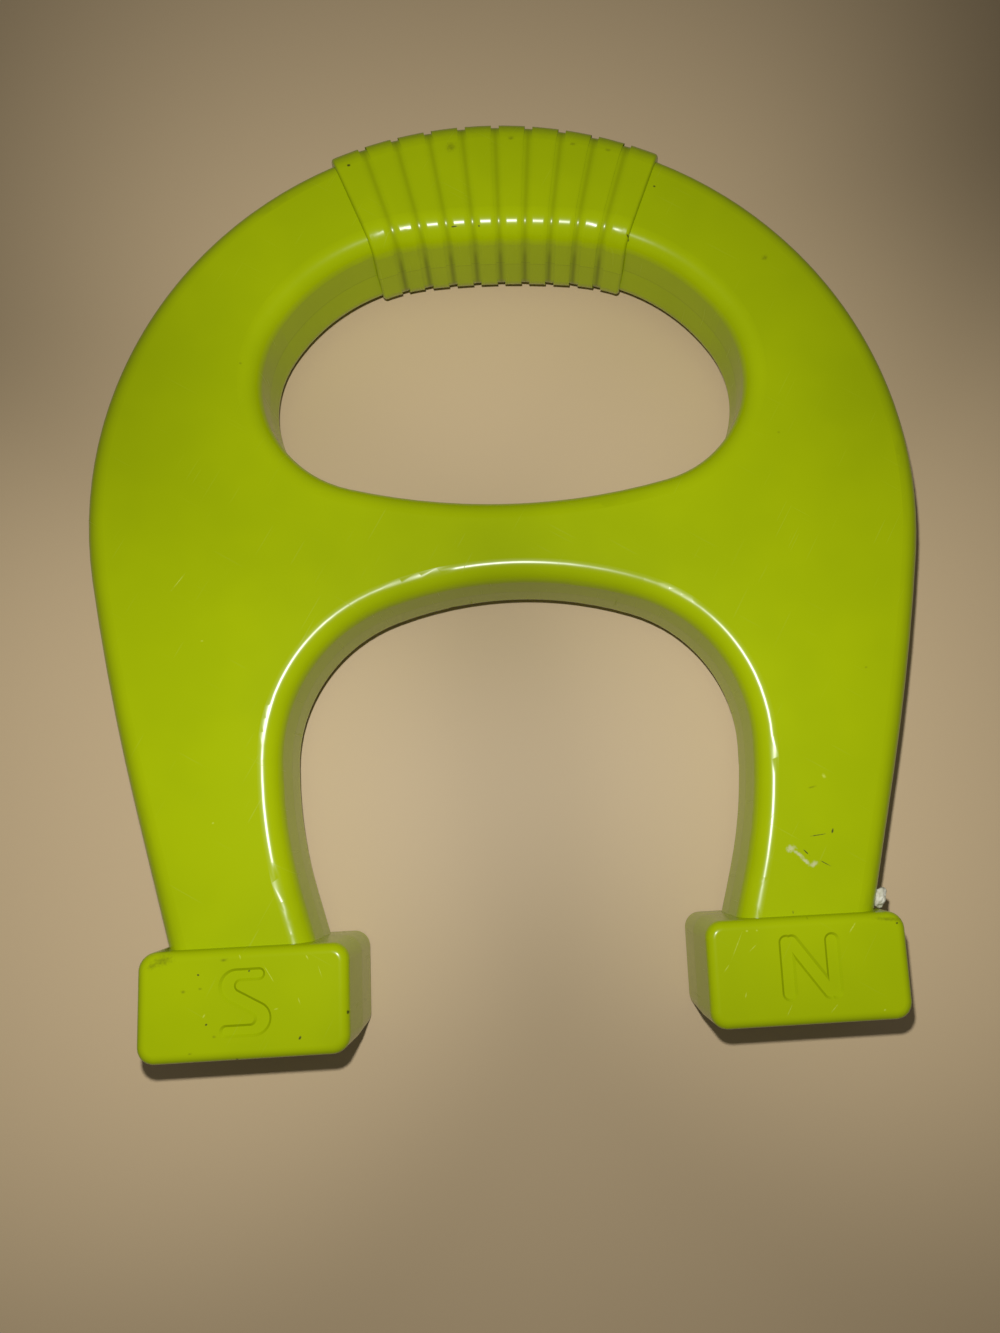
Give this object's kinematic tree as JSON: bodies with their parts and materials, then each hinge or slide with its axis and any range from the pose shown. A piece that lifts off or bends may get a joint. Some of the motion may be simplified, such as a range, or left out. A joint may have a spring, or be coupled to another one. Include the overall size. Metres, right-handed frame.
{
  "type": "horseshoe magnet",
  "caption": "Jumbo plastic-cased horseshoe magnet with a lens-shaped handle opening, a ribbed grip and a pole block marked N or S on each leg.",
  "frame": {"origin": "under the middle of the overall box, on the plane that the pole blocks' backs rest on", "axes": "+X towards the N pole, +Y towards the ribbed grip, +Z out of the lettered face"},
  "size_m": [0.178, 0.2006, 0.0292],
  "materials": {
    "lime_plastic": "glossy moulded plastic with light wear",
    "ferrite": "matt sintered ferrite"
  },
  "bodies": {
    "root": {"front_shell": "lime_plastic", "back_shell": "lime_plastic", "north_magnet": "ferrite", "south_magnet": "ferrite"}
  },
  "joints": []
}
